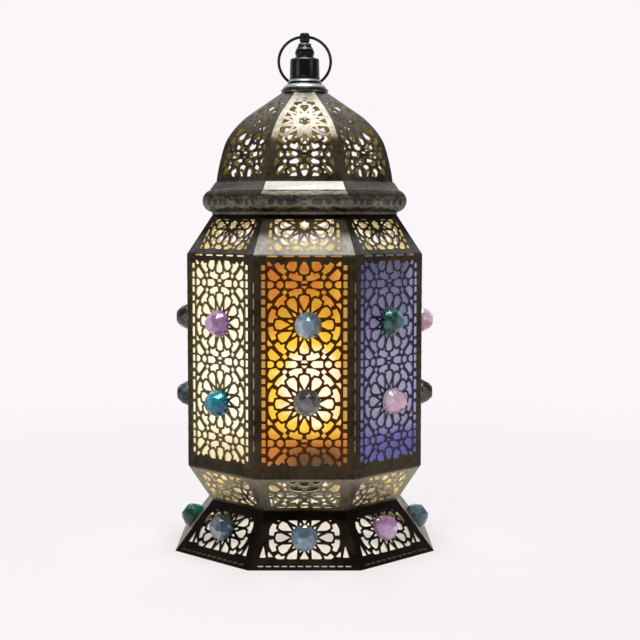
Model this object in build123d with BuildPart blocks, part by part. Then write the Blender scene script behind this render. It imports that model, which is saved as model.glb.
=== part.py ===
"""Eight-sided pierced sheet-metal lantern with coloured panes, glued stones, a lamp and a hanging ring.

The lantern stands on the floor at z = 0 with its axis on Z. Its front face looks along -Y.
"""

import os
from math import cos, hypot, radians, sin, tan

from build123d import *

# Driving sizes in millimetres, angles in degrees
side_names = ("front", "front_right", "right", "back_right", "back", "back_left", "left", "front_left")
sheet = 0.8

# Tiers of the sheet-metal case: heights, then widths across flats
skirt_height = 37.8
flare_height = 29.2
body_height = 164.0
shoulder_height = 30.5
cornice_height = 24.5
dome_height = 71.0
base_flat = 201.6
waist_flat = 145.0
body_flat = 181.0
neck_flat = 142.0
dome_foot_flat = 136.4
crown_flat = 34.0

# Turned-in lips of the tiers, whose edges lie at a share of the depth of the sloping walls
hem_width = 7.0
waist_lip = 12.0
neck_lip = 6.0
dome_lip = 5.0
hem_root = 0.75
lip_root = 0.25

# Pressed moulding of the cornice
cornice_flat = 156.4
cornice_foot_flat = 143.0
cornice_foot_height = 1.9
cornice_belly_height = 11.2
cornice_slope_flat = 146.8
cornice_slope_height = 6.6

# Curved wall of a dome gore: a nearly straight wall, a rounded knee and a straight roof
knee_start_flat = 122.0
knee_start_height = 31.5
knee_end_flat = 78.6
knee_end_height = 55.1
wall_bulge = 0.8
knee_bulge = 1.85

# Fretwork of the body panels: rosettes round the stones, one above the other
window_width = 63.4
window_height = 151.0
window_lift = 2.4
rosette_count = 2
rosette_pitch = 58.6
petal_count = 12
petal_root = 11.2
petal_belly = 18.4
petal_tip = 22.0
petal_width = 8.2
ring_cell_root = 23.3
ring_cell_tip = 27.9
ring_cell_angle = 24.0
almond_count = 4
almond_radius = 32.2
almond_length = 12.0
almond_width = 7.2

# Fretwork of the tapered tiers and the dome
skirt_petal_count = 8
skirt_petal_tip = 18.6
skirt_gem_height = 21.0
arch_count = 3
arch_width = 11.6
arch_pitch = 13.8
arch_height = 15.0
gore_petal_root = 9.6
gore_petal_belly = 16.2
gore_petal_tip = 20.0
gore_petal_width = 7.6
gore_ring_cell_root = 21.6
gore_ring_cell_tip = 25.8
gore_bar_length = 16.0
gore_bar_height = 6.6
gore_bar_pitch = 20.4
gore_bar_rise = 10.2
gore_bar_level = 12.9

# Coloured panes and the clips that hold them
pane_width = 66.0
pane_height = 157.0
pane_thick = 1.5
clip_thick = 0.5
clip_tab = 2.8
clip_finger = 3.5
clip_length = 8.0
clip_gap = 0.2

# Faceted stones
gem_width = 20.0
gem_girdle = 4.8
gem_crown_height = 3.6
gem_crown_width = 16.8
gem_height = 11.6
gem_table_width = 9.6
gem_facets = 8

# Lamp bridge and its fasteners
bridge_width = 28.0
bridge_thick = 1.5
bridge_corner = 4.7
bridge_end_gap = 2.0
lip_screw_inset = 6.5
screw_width = 4.0
screw_head_width = 7.6
screw_head_height = 2.6
screw_spare = 1.0
screw_nut_flat = 7.0
screw_nut_height = 3.2
rivet_width = 3.2
rivet_head_width = 6.0
rivet_head_height = 1.4
nut_sides = 6
thread_gap = 0.1

# Lampholder on a hollow threaded nipple
nipple_width = 10.0
nipple_bore = 7.0
nipple_tail = 7.6
nipple_reach = 13.0
nipple_nut_flat = 14.0
nipple_nut_height = 4.0
nipple_washer_width = 18.0
nipple_washer_thick = 1.0
holder_width = 39.0
holder_foot_width = 26.0
holder_foot_height = 6.0
holder_flare_height = 8.0
holder_floor_height = 16.0
holder_height = 48.5
holder_wall = 2.0
block_height = 8.0
block_gap = 0.2
shell_width = 29.2
shell_thick = 0.4
shell_height = 20.0
leaf_width = 5.0
leaf_thick = 0.5
leaf_rise = 3.0
leaf_foot = 6.0
leaf_offset = 4.0

# Screw-in lamp
cap_width = 26.4
cap_thick = 0.4
cap_height = 22.0
cap_taper_height = 5.0
cap_tip_width = 17.0
contact_width = 9.0
contact_height = 2.0
contact_plug_height = 3.0
glass_thick = 1.0
glass_neck_gap = 0.2
glass_neck_depth = 8.0
glass_neck_height = 6.0
bulb_width = 60.0
bulb_centre_height = 50.0
bulb_tangent_angle = -35.0

# Finial, stacked on a stud above the crown plate
crown_plate_width = 36.8
crown_plate_thick = 1.0
flange_width = 37.4
flange_rim_height = 1.6
flange_low_band_width = 34.4
flange_low_band_height = 2.6
flange_slope_height = 1.6
flange_high_band_width = 27.6
flange_high_band_height = 3.0
flange_top_width = 24.4
flange_height = 10.1
barrel_width = 23.8
barrel_top_width = 22.8
barrel_height = 15.8
barrel_bevel = 1.2
barrel_wall = 2.0
knob_foot_width = 15.4
knob_waist_width = 14.0
knob_waist_height = 2.0
knob_belly_width = 15.4
knob_belly_height = 4.4
knob_shoulder_width = 10.6
knob_shoulder_height = 10.6
knob_neck_width = 6.4
knob_neck_height = 12.2
eye_width = 8.0
eye_foot_height = 12.9
eye_shoulder_height = 19.1
eye_top_width = 6.4
eye_top_height = 19.8
eye_centre_height = 16.9
eye_bore = 3.6
stud_width = 6.0
stud_knob_depth = 8.0
stud_spare = 2.0
stud_washer_width = 13.0
stud_washer_thick = 1.2
stud_nut_flat = 10.0
stud_nut_height = 5.0

# Wire ring, leaning on the back of the finial
ring_width = 43.6
wire_width = 2.3
ring_rest_gap = 0.3
lean_step = 0.25
lean_spots = 18

# Levels above the floor
side_count = len(side_names)
waist_z = skirt_height
body_z = waist_z + flare_height
shoulder_z = body_z + body_height
neck_z = shoulder_z + shoulder_height
dome_z = neck_z + cornice_height
crown_z = dome_z + dome_height
flange_z = crown_z + crown_plate_thick
barrel_z = flange_z + flange_height
knob_z = barrel_z + barrel_height
eye_z = knob_z + eye_centre_height
window_z = body_z + body_height / 2 + window_lift
bridge_z = waist_z + sheet
holder_z = bridge_z + bridge_thick
block_z = holder_z + holder_floor_height
shell_z = block_z + block_height
contact_z = shell_z + leaf_rise
cap_z = contact_z + contact_height
glass_z = cap_z + cap_height
lip_screw_radius = waist_flat / 2 - lip_screw_inset

os.makedirs("parts", exist_ok=True)


def save(piece, name):
    """Label a finished piece and write it under its name."""
    piece.part.label = name
    export_step(piece.part, f"parts/{name}.step")


def facing(side):
    """Direction that a side looks in, in degrees about Z from +X."""
    return -90 + side * 360 / side_count


def direction(angle):
    """Unit vector in the floor plane at an angle about Z."""
    return Vector(cos(radians(angle)), sin(radians(angle)), 0)


def side_plane(side, low, high):
    """Plane on a side between two (half width, height) points, looking out, with Y up the slope."""
    out = direction(facing(side))
    run, rise = high[0] - low[0], high[1] - low[1]
    middle = out * ((low[0] + high[0]) / 2) + Vector(0, 0, (low[1] + high[1]) / 2)
    along = direction(facing(side) + 90)
    return Plane(origin=middle, x_dir=along, z_dir=out * rise - Vector(0, 0, run))


def section_plane(side):
    """Plane through the axis and the middle of a side: local X is outward, local Y is up."""
    out = direction(facing(side))
    return Plane(origin=(0, 0, 0), x_dir=out, z_dir=out.cross(Vector(0, 0, 1)))


def mitre(side):
    """Trim the piece in hand to the wedge of one side, so that neighbours meet face to face."""
    half_turn = 180 / side_count
    for edge in (1, -1):
        normal = direction(facing(side) + edge * (half_turn + 90))
        split(bisect_by=Plane(origin=(0, 0, 0), z_dir=normal), keep=Keep.BOTTOM)


def octagon(half_flat, mode=Mode.ADD):
    """Regular outline of the case, its flats square to the sides."""
    RegularPolygon(half_flat, side_count, major_radius=False, rotation=180 / side_count, mode=mode)


def wall_run(low, high):
    """Level thickness of a sloping sheet wall between two (half width, height) points."""
    return sheet * hypot(high[0] - low[0], high[1] - low[1]) / abs(high[1] - low[1])


def frustum(low, high, inset, mode):
    """Eight-sided taper between two (half width, height) points, drawn in by an inset."""
    with BuildSketch(Plane.XY.offset(low[1])) as low_outline:
        octagon(low[0] - inset)
    with BuildSketch(Plane.XY.offset(high[1])) as high_outline:
        octagon(high[0] - inset)
    loft([low_outline.sketch, high_outline.sketch], mode=mode)


def tapered_wall(low, high):
    """Sloping sheet wall, open above and below."""
    frustum(low, high, 0, Mode.ADD)
    frustum(low, high, wall_run(low, high), Mode.SUBTRACT)


def lip(outer, width, height):
    """Level turned-in lip, one sheet thick, whose underside is at a height."""
    with BuildSketch(Plane.XY.offset(height)) as ring:
        octagon(outer)
        octagon(outer - width, mode=Mode.SUBTRACT)
    extrude(ring.sketch, amount=sheet)


def pierce(cells, low, high):
    """Cut a sketch of cells through the sloping wall of every side."""
    for side in range(side_count):
        with BuildSketch(side_plane(side, low, high)) as cut:
            add(cells.sketch)
        extrude(cut.sketch, amount=2 * sheet, both=True, mode=Mode.SUBTRACT)


def lip_holes(spots, width, height):
    """Drill fastener holes through a waist lip at angles about Z."""
    with BuildSketch(Plane.XY.offset(height)) as holes:
        for spot in spots:
            with Locations(direction(spot) * lip_screw_radius):
                Circle(width / 2 + thread_gap)
    extrude(holes.sketch, amount=2 * sheet, both=True, mode=Mode.SUBTRACT)


def turned(outline):
    """Turn a closed outline of (radius, height) points about the axis."""
    with BuildSketch(Plane.XZ) as profile:
        with BuildLine():
            Polyline(*outline, close=True)
        make_face()
    revolve(profile.sketch, axis=Axis.Z)


def tube(outer, inner, low, height):
    """Upright round tube or drilled disc."""
    with BuildSketch(Plane.XY.offset(low)) as disc:
        Circle(outer / 2)
        Circle(inner / 2, mode=Mode.SUBTRACT)
    extrude(disc.sketch, amount=height)


def hex_nut(flat, bore, low, height):
    """Upright hexagon nut on the axis of the places in hand."""
    with BuildSketch(Plane.XY.offset(low)) as hexagon:
        RegularPolygon(flat / 2, nut_sides, major_radius=False)
        Circle(bore / 2, mode=Mode.SUBTRACT)
    extrude(hexagon.sketch, amount=height)


# Corners of the case walls as (half width, height)
base_edge = (base_flat / 2, 0)
waist_edge = (waist_flat / 2, waist_z)
body_low_edge = (body_flat / 2, body_z)
body_high_edge = (body_flat / 2, shoulder_z)
neck_edge = (neck_flat / 2, neck_z)

# Angles of the two bridge screws, at the ends of the strap, and of the rivets between them
screw_spots = (0, 180)
rivet_spots = [facing(side) for side in range(side_count) if facing(side) % 180 != 0]

# Fretwork cells, drawn flat: X across the panel and Y up it
def kite(root, belly, tip, width):
    """Corners of a pointed cell that runs out along X from its root to its tip."""
    return (root, 0), (belly, width / 2), (tip, 0), (belly, -width / 2)


def ring_sector(root, tip):
    """Corners of a cell of the ring round a rosette, between two radii about X."""
    half = radians(ring_cell_angle / 2)
    radii_and_turns = (root, -half), (tip, -half), (tip, half), (root, half)
    return [(radius * cos(turn), radius * sin(turn)) for radius, turn in radii_and_turns]


with BuildSketch() as panel_cells:
    with GridLocations(0, rosette_pitch, 1, rosette_count):
        with PolarLocations(0, petal_count):
            Polygon(*kite(petal_root, petal_belly, petal_tip, petal_width))
        with PolarLocations(0, petal_count, start_angle=180 / petal_count):
            Polygon(*ring_sector(ring_cell_root, ring_cell_tip))
        with PolarLocations(almond_radius, almond_count, start_angle=180 / almond_count):
            Polygon(*kite(-almond_width / 2, 0, almond_width / 2, almond_length))
    Rectangle(window_width, window_height, mode=Mode.INTERSECT)

skirt_length = hypot(base_edge[0] - waist_edge[0], skirt_height)
gem_up_slope = (skirt_gem_height / skirt_height - 0.5) * skirt_length
skirt_petal = kite(petal_root, petal_belly - petal_tip + skirt_petal_tip, skirt_petal_tip, petal_width)
with BuildSketch() as skirt_cells:
    with Locations((0, gem_up_slope)):
        with PolarLocations(0, skirt_petal_count):
            Polygon(*skirt_petal)

with BuildSketch() as arch_cells:
    with GridLocations(arch_pitch, 0, arch_count, 1):
        Polygon(
            (-arch_width / 2, -arch_height / 2),
            (arch_width / 2, -arch_height / 2),
            (arch_width / 2, arch_height / 2 - arch_width / 2),
            (0, arch_height / 2),
            (-arch_width / 2, arch_height / 2 - arch_width / 2),
        )

petal_step = 360 / petal_count
with BuildSketch() as gore_rosette:
    for first, count in ((60, 3), (210, 5)):
        with PolarLocations(0, count, first, (count - 1) * petal_step, endpoint=True):
            Polygon(*kite(gore_petal_root, gore_petal_belly, gore_petal_tip, gore_petal_width))
    with PolarLocations(0, 2, 270 - petal_step / 2, petal_step, endpoint=True):
        Polygon(*ring_sector(gore_ring_cell_root, gore_ring_cell_tip))

with BuildSketch() as gore_bars:
    with GridLocations(gore_bar_pitch, gore_bar_rise, 2, 2):
        Rectangle(gore_bar_length, gore_bar_height)

# Base skirt: flared wall with a turned-in hem to stand on and a lip at the waist
skirt_wall = wall_run(base_edge, waist_edge)
with BuildPart() as base_skirt:
    tapered_wall(base_edge, waist_edge)
    lip(base_flat / 2 - hem_root * skirt_wall, hem_width, 0)
    lip(waist_flat / 2 - lip_root * skirt_wall, waist_lip, waist_z - sheet)
    pierce(skirt_cells, base_edge, waist_edge)
    lip_holes(screw_spots, screw_width, waist_z)
    lip_holes(rivet_spots, rivet_width, waist_z)
save(base_skirt, "base_skirt")

# Lower flare: tapered collar from the waist out to the body, with a lip on the skirt's lip
flare_wall = wall_run(waist_edge, body_low_edge)
with BuildPart() as lower_flare:
    tapered_wall(waist_edge, body_low_edge)
    lip(waist_flat / 2 - lip_root * flare_wall, waist_lip, waist_z)
    pierce(arch_cells, waist_edge, body_low_edge)
    lip_holes(screw_spots, screw_width, waist_z)
    lip_holes(rivet_spots, rivet_width, waist_z)
save(lower_flare, "lower_flare")

# Body panels: pierced plates, mitred at the folded corners
panel_width = body_flat * tan(radians(180 / side_count))
for side, side_name in enumerate(side_names):
    body_face = side_plane(side, body_low_edge, body_high_edge)
    with BuildPart() as panel:
        with BuildSketch(body_face):
            Rectangle(panel_width, body_height)
            with Locations((0, window_lift)):
                add(panel_cells.sketch, mode=Mode.SUBTRACT)
        extrude(amount=-sheet)
        mitre(side)
    save(panel, f"panel_{side_name}")

# Coloured panes: flat sheets laid on the backs of the panels
for side, side_name in enumerate(side_names):
    body_face = side_plane(side, body_low_edge, body_high_edge)
    with BuildPart() as pane:
        with BuildSketch(body_face.offset(-sheet)):
            with Locations((0, window_lift)):
                Rectangle(pane_width, pane_height)
        extrude(amount=-pane_thick)
    save(pane, f"pane_{side_name}")

# Pane clips: Z-bent strips soldered to the panels, with a finger over the pane's long edges
clip_root = pane_width / 2 + clip_gap
clip_section = (
    (clip_root + clip_thick + clip_tab, 0),
    (clip_root + clip_thick + clip_tab, clip_thick),
    (clip_root + clip_thick, clip_thick),
    (clip_root + clip_thick, pane_thick + clip_thick),
    (clip_root - clip_finger, pane_thick + clip_thick),
    (clip_root - clip_finger, pane_thick),
    (clip_root, pane_thick),
    (clip_root, 0),
)
with BuildPart() as pane_clips:
    for side in range(side_count):
        out = direction(facing(side))
        along = direction(facing(side) + 90)
        back = out * (body_flat / 2 - sheet)
        for hand in (1, -1):
            clip_floor = Plane(
                origin=back + Vector(0, 0, window_z - clip_length / 2), x_dir=along, z_dir=(0, 0, 1)
            )
            with BuildSketch(clip_floor):
                Polygon(*[(hand * across, inward) for across, inward in clip_section])
            extrude(amount=clip_length)
save(pane_clips, "pane_clips")

# Stones: flat-backed, faceted, glued over the hearts of the rosettes and on the skirt
upper_gems = ("pale", "emerald", "rose", "lilac", "teal", "emerald", "smoke", "lilac")
lower_gems = ("smoke", "rose", "smoke", "sapphire", "pale", "rose", "sapphire", "teal")
skirt_gems = ("pale", "lilac", "pale", "teal", "rose", "smoke", "emerald", "sapphire")
gem_seats = {}
for side in range(side_count):
    body_face = side_plane(side, body_low_edge, body_high_edge)
    skirt_face = side_plane(side, base_edge, waist_edge)
    for colour, face, up in (
        (upper_gems[side], body_face, window_lift + rosette_pitch / 2),
        (lower_gems[side], body_face, window_lift - rosette_pitch / 2),
        (skirt_gems[side], skirt_face, gem_up_slope),
    ):
        gem_seats.setdefault(colour, []).append(face.shift_origin(face.from_local_coords((0, up, 0))))
for colour, seats in gem_seats.items():
    with BuildPart() as gems:
        for seat in seats:
            tiers = (
                (gem_width, 0),
                (gem_width, gem_girdle),
                (gem_crown_width, gem_girdle + gem_crown_height),
                (gem_table_width, gem_height),
            )
            for (low_width, low), (high_width, high) in zip(tiers, tiers[1:]):
                for width, height in ((low_width, low), (high_width, high)):
                    with BuildSketch(seat.offset(height)):
                        RegularPolygon(width / 2, gem_facets)
                loft()
    save(gems, f"gems_{colour}")

# Shoulder: tapered collar that closes in above the panels, with a lip under the cornice
shoulder_wall = wall_run(body_high_edge, neck_edge)
with BuildPart() as shoulder:
    tapered_wall(body_high_edge, neck_edge)
    lip(neck_flat / 2 - lip_root * shoulder_wall, neck_lip, neck_z - sheet)
    pierce(arch_cells, body_high_edge, neck_edge)
save(shoulder, "shoulder")

# Cornice: hollow pressed moulding, a lip below, a round belly and a lip that the dome stands on
belly_top = cornice_height - cornice_slope_height
drawn_side = side_names.index("right")
with BuildPart() as cornice_side:
    with BuildSketch(section_plane(drawn_side)):
        with BuildLine():
            low_lip = Line((neck_flat / 2 - neck_lip, neck_z), (cornice_foot_flat / 2, neck_z))
            foot = Line(low_lip @ 1, low_lip @ 1 + Vector(0, cornice_foot_height))
            belly = ThreePointArc(
                foot @ 1,
                (cornice_flat / 2, neck_z + cornice_belly_height),
                (cornice_slope_flat / 2, neck_z + belly_top),
            )
            slope = Line(belly @ 1, (dome_foot_flat / 2 + sheet, dome_z))
            Line(slope @ 1, (dome_foot_flat / 2 - dome_lip, dome_z))
            offset(amount=sheet, side=Side.LEFT)
        make_face()
    extrude(amount=cornice_flat / 2, both=True)
    mitre(drawn_side)
with BuildPart() as cornice:
    with PolarLocations(0, side_count):
        add(cornice_side.part)
save(cornice, "cornice")

# Dome gores: curved pierced strips that meet along the ridges
foot_point = (dome_foot_flat / 2, dome_z)
knee_low = (knee_start_flat / 2, dome_z + knee_start_height)
knee_high = (knee_end_flat / 2, dome_z + knee_end_height)
crown_point = (crown_flat / 2, crown_z)
for side, side_name in enumerate(side_names):
    with BuildPart() as gore:
        with BuildSketch(section_plane(side)):
            with BuildLine():
                wall = SagittaArc(foot_point, knee_low, -wall_bulge)
                knee = SagittaArc(wall @ 1, knee_high, -knee_bulge)
                roof = Line(knee @ 1, crown_point)
                Line(wall @ 0, wall @ 0 - (wall % 0) * sheet)
                Line(roof @ 1, roof @ 1 + (roof % 1) * sheet)
                offset(amount=sheet, side=Side.LEFT)
            make_face()
        extrude(amount=dome_foot_flat / 2, both=True)
        mitre(side)
        split(bisect_by=Plane.XY.offset(dome_z), keep=Keep.TOP)
        split(bisect_by=Plane.XY.offset(crown_z), keep=Keep.BOTTOM)
        wall_face = side_plane(side, foot_point, knee_low)
        bar_seat = wall_face.from_local_coords((0, gore_bar_level - (wall @ 0 - wall @ 1).length / 2, 0))
        for cells, face in (
            (gore_rosette, side_plane(side, knee_low, knee_high)),
            (gore_bars, wall_face.shift_origin(bar_seat)),
        ):
            with BuildSketch(face) as cut:
                add(cells.sketch)
            extrude(cut.sketch, amount=gore_petal_tip, both=True, mode=Mode.SUBTRACT)
    save(gore, f"gore_{side_name}")

# Lamp bridge: flat strap across the waist on the flare's lip
with BuildPart() as lamp_bridge:
    with BuildSketch(Plane.XY.offset(bridge_z)):
        Rectangle(waist_flat - 2 * bridge_end_gap, bridge_width)
        Circle(nipple_width / 2 + thread_gap, mode=Mode.SUBTRACT)
        with GridLocations(2 * lip_screw_radius, 0, 2, 1):
            Circle(screw_width / 2 + thread_gap, mode=Mode.SUBTRACT)
    extrude(amount=bridge_thick)
    fillet(lamp_bridge.edges().filter_by(Axis.Z).filter_by(GeomType.LINE), radius=bridge_corner)
save(lamp_bridge, "lamp_bridge")

# Bridge screws and nuts: clamp the strap and both waist lips
screw_low = waist_z - sheet - screw_nut_height - screw_spare
with BuildPart() as bridge_screws:
    with BuildSketch(Plane.XY.offset(screw_low)):
        with GridLocations(2 * lip_screw_radius, 0, 2, 1):
            Circle(screw_width / 2)
    extrude(amount=holder_z - screw_low)
    with BuildSketch(Plane.XY.offset(holder_z)):
        with GridLocations(2 * lip_screw_radius, 0, 2, 1):
            Circle(screw_head_width / 2)
    extrude(amount=screw_head_height)
save(bridge_screws, "bridge_screws")

with BuildPart() as bridge_nuts:
    with BuildSketch(Plane.XY.offset(waist_z - sheet - screw_nut_height)):
        with GridLocations(2 * lip_screw_radius, 0, 2, 1):
            RegularPolygon(screw_nut_flat / 2, nut_sides, major_radius=False)
            Circle(screw_width / 2 + thread_gap, mode=Mode.SUBTRACT)
    extrude(amount=screw_nut_height)
save(bridge_nuts, "bridge_nuts")

# Waist rivets: join the lips of skirt and flare on the other sides
with BuildPart() as waist_rivets:
    for width, low, height in (
        (rivet_head_width, waist_z - sheet - rivet_head_height, rivet_head_height),
        (rivet_width, waist_z - sheet, 2 * sheet),
        (rivet_head_width, waist_z + sheet, rivet_head_height),
    ):
        with BuildSketch(Plane.XY.offset(low)):
            for spot in rivet_spots:
                with Locations(direction(spot) * lip_screw_radius):
                    Circle(width / 2)
        extrude(amount=height)
save(waist_rivets, "waist_rivets")

# Nipple: hollow threaded tube through the bridge, where a cable comes in
nipple_low = bridge_z - nipple_tail
with BuildPart() as holder_nipple:
    tube(nipple_width, nipple_bore, nipple_low, holder_z + nipple_reach - nipple_low)
save(holder_nipple, "holder_nipple")

nipple_hole = nipple_width + 2 * thread_gap
washer_low = bridge_z - nipple_washer_thick
with BuildPart() as nipple_washer:
    tube(nipple_washer_width, nipple_hole, washer_low, nipple_washer_thick)
save(nipple_washer, "nipple_washer")

with BuildPart() as nipple_nut:
    hex_nut(nipple_nut_flat, nipple_hole, washer_low - nipple_nut_height, nipple_nut_height)
save(nipple_nut, "nipple_nut")

# Lampholder shell: moulded cup with a drilled foot
with BuildPart() as holder_shell:
    turned(
        (
            (nipple_hole / 2, holder_z),
            (holder_foot_width / 2, holder_z),
            (holder_foot_width / 2, holder_z + holder_foot_height),
            (holder_width / 2, holder_z + holder_foot_height + holder_flare_height),
            (holder_width / 2, holder_z + holder_height),
            (holder_width / 2 - holder_wall, holder_z + holder_height),
            (holder_width / 2 - holder_wall, block_z),
            (nipple_hole / 2, block_z),
        )
    )
save(holder_shell, "holder_shell")

# Terminal block, threaded shell and spring leaf inside the lampholder
with BuildPart() as terminal_block:
    tube(holder_width - 2 * holder_wall - 2 * block_gap, nipple_bore, block_z, block_height)
save(terminal_block, "terminal_block")

with BuildPart() as screw_shell:
    tube(shell_width, shell_width - 2 * shell_thick, shell_z, shell_height)
save(screw_shell, "screw_shell")

with BuildPart() as centre_contact:
    with BuildSketch(Plane.XZ):
        with Locations((0, shell_z)):
            Polygon(
                (leaf_offset, 0),
                (leaf_offset + leaf_foot, 0),
                (leaf_offset + leaf_foot, leaf_thick),
                (leaf_offset + leaf_thick, leaf_thick),
                (leaf_offset + leaf_thick, leaf_rise),
                (-leaf_offset, leaf_rise),
                (-leaf_offset, leaf_rise - leaf_thick),
                (leaf_offset, leaf_rise - leaf_thick),
            )
    extrude(amount=leaf_width / 2, both=True)
save(centre_contact, "centre_contact")

# Lamp: metal cap with a contact plug, and a blown glass bulb seated on the cap's rim
cap_taper_z = cap_z + cap_taper_height
with BuildPart() as lamp_cap:
    turned(
        (
            (cap_tip_width / 2 - cap_thick, cap_z),
            (cap_tip_width / 2, cap_z),
            (cap_width / 2, cap_taper_z),
            (cap_width / 2, glass_z),
            (cap_width / 2 - cap_thick, glass_z),
            (cap_width / 2 - cap_thick, cap_taper_z),
        )
    )
save(lamp_cap, "lamp_cap")

with BuildPart() as lamp_contact:
    turned(
        (
            (0, contact_z),
            (contact_width / 2, contact_z),
            (contact_width / 2, cap_z),
            (cap_tip_width / 2 - cap_thick, cap_z),
            (cap_tip_width / 2 - cap_thick, cap_z + contact_plug_height),
            (0, cap_z + contact_plug_height),
        )
    )
save(lamp_contact, "lamp_contact")

bulb_centre_z = glass_z + bulb_centre_height
with BuildPart() as lamp_glass:
    for inset, mode in ((0, Mode.ADD), (glass_thick, Mode.SUBTRACT)):
        neck_r = cap_width / 2 - inset
        bulb_r = bulb_width / 2 - inset
        with BuildSketch(Plane.XZ):
            with BuildLine():
                axis_line = Line((0, bulb_centre_z + bulb_r), (0, glass_z))
                rim = Line(axis_line @ 1, (neck_r, glass_z))
                neck = Line(rim @ 1, (neck_r, glass_z + glass_neck_height))
                bowl = CenterArc((0, bulb_centre_z), bulb_r, bulb_tangent_angle, 90 - bulb_tangent_angle)
                Line(neck @ 1, bowl @ 0)
            make_face()
        revolve(axis=Axis.Z, mode=mode)
    neck_outer = cap_width / 2 - cap_thick - glass_neck_gap
    with BuildSketch(Plane.XY.offset(glass_z - glass_neck_depth)):
        Circle(neck_outer)
        Circle(neck_outer - glass_thick, mode=Mode.SUBTRACT)
    extrude(amount=glass_neck_depth + glass_thick)
save(lamp_glass, "lamp_glass")

# Crown plate: closes the dome's top and carries the finial
stud_hole = stud_width + 2 * thread_gap
with BuildPart() as crown_plate:
    tube(crown_plate_width, stud_hole, crown_z, crown_plate_thick)
save(crown_plate, "crown_plate")

# Finial flange: spun foot with a rim and two stepped bands
rim_top = flange_z + flange_rim_height
low_band_top = rim_top + flange_low_band_height
high_band_foot = low_band_top + flange_slope_height
flange_outline = (
    (flange_width / 2, flange_z),
    (flange_width / 2, rim_top),
    (flange_low_band_width / 2, rim_top),
    (flange_low_band_width / 2, low_band_top),
    (flange_high_band_width / 2, high_band_foot),
    (flange_high_band_width / 2, high_band_foot + flange_high_band_height),
    (flange_top_width / 2, barrel_z),
)
with BuildPart() as finial_flange:
    turned(((stud_hole / 2, flange_z), *flange_outline, (stud_hole / 2, barrel_z)))
save(finial_flange, "finial_flange")

# Finial barrel: drawn cup, open below, with a bevelled top edge
with BuildPart() as finial_barrel:
    turned(
        (
            (barrel_width / 2 - barrel_wall, barrel_z),
            (barrel_width / 2, barrel_z),
            (barrel_top_width / 2, knob_z - barrel_bevel),
            (barrel_top_width / 2 - barrel_bevel, knob_z),
            (stud_hole / 2, knob_z),
            (stud_hole / 2, knob_z - barrel_wall),
            (barrel_top_width / 2 - barrel_wall, knob_z - barrel_wall),
        )
    )
save(finial_barrel, "finial_barrel")

# Finial knob: turned knob with a neck and a round head, drilled across as the eye of the ring
with BuildPart() as finial_knob:
    with BuildSketch(Plane.XZ):
        with BuildLine():
            knob_foot = Line((0, knob_z), (knob_foot_width / 2, knob_z))
            knob_waist = Line(knob_foot @ 1, (knob_waist_width / 2, knob_z + knob_waist_height))
            knob_belly = ThreePointArc(
                knob_waist @ 1,
                (knob_belly_width / 2, knob_z + knob_belly_height),
                (knob_shoulder_width / 2, knob_z + knob_shoulder_height),
            )
            Polyline(
                knob_belly @ 1,
                (knob_neck_width / 2, knob_z + knob_neck_height),
                (eye_width / 2, knob_z + eye_foot_height),
                (eye_width / 2, knob_z + eye_shoulder_height),
                (eye_top_width / 2, knob_z + eye_top_height),
                (0, knob_z + eye_top_height),
                knob_foot @ 0,
            )
        make_face()
    revolve(axis=Axis.Z)
    with BuildSketch(Plane.YZ):
        with Locations((0, eye_z)):
            Circle(eye_bore / 2)
    extrude(amount=eye_width, both=True, mode=Mode.SUBTRACT)
    with BuildSketch(Plane.XY.offset(knob_z)):
        Circle(stud_hole / 2)
    extrude(amount=stud_knob_depth + thread_gap, mode=Mode.SUBTRACT)
save(finial_knob, "finial_knob")

# Stud, washer and nut: clamp the finial down on the crown plate from inside the dome
stud_low = crown_z - stud_washer_thick - stud_nut_height - stud_spare
with BuildPart() as finial_stud:
    with BuildSketch(Plane.XY.offset(stud_low)):
        Circle(stud_width / 2)
    extrude(amount=knob_z + stud_knob_depth - stud_low)
save(finial_stud, "finial_stud")

with BuildPart() as finial_washer:
    tube(stud_washer_width, stud_hole, crown_z - stud_washer_thick, stud_washer_thick)
save(finial_washer, "finial_washer")

with BuildPart() as finial_nut:
    hex_nut(stud_nut_flat, stud_hole, crown_z - stud_washer_thick - stud_nut_height, stud_nut_height)
save(finial_nut, "finial_nut")

# Hanging ring: round wire through the eye, leaning back until it rests on the flange
ring_radius = (ring_width - wire_width) / 2
rest_distance = wire_width / 2 + ring_rest_gap


def clears_finial(lean):
    """Whether the ring's wire, at a lean from straight down, stays clear of flange and barrel."""
    barrel_outline = ((barrel_width / 2, barrel_z), (barrel_top_width / 2, knob_z))
    for spot in range(1, lean_spots):
        turn = radians(90 + 180 * spot / lean_spots)
        across = ring_radius * sin(turn)
        along = ring_radius * (1 - cos(turn))
        radius = hypot(across, along * sin(radians(lean)))
        height = eye_z - along * cos(radians(lean))
        for outline in (flange_outline, barrel_outline):
            for (r_low, z_low), (r_high, z_high) in zip(outline, outline[1:]):
                run, rise = r_high - r_low, z_high - z_low
                share = ((radius - r_low) * run + (height - z_low) * rise) / (run**2 + rise**2)
                share = min(max(share, 0), 1)
                if hypot(radius - r_low - share * run, height - z_low - share * rise) < rest_distance:
                    return False
                if z_low <= height <= z_high and radius < min(r_low, r_high):
                    return False
    return True


ring_lean = lean_step
while not clears_finial(ring_lean):
    ring_lean += lean_step
down_ring = Vector(0, sin(radians(ring_lean)), -cos(radians(ring_lean)))
eye_centre = Vector(0, 0, eye_z)
with BuildPart() as hanging_ring:
    with BuildSketch(Plane(origin=eye_centre, x_dir=down_ring, z_dir=(1, 0, 0))):
        Circle(wire_width / 2)
    revolve(axis=Axis(eye_centre + down_ring * ring_radius, Vector(1, 0, 0).cross(down_ring)))
save(hanging_ring, "hanging_ring")
print(f"ring lean {ring_lean:.2f} degrees, free swing {360 - 2 * ring_lean:.2f} degrees, eye at {eye_z:.2f}")
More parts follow.
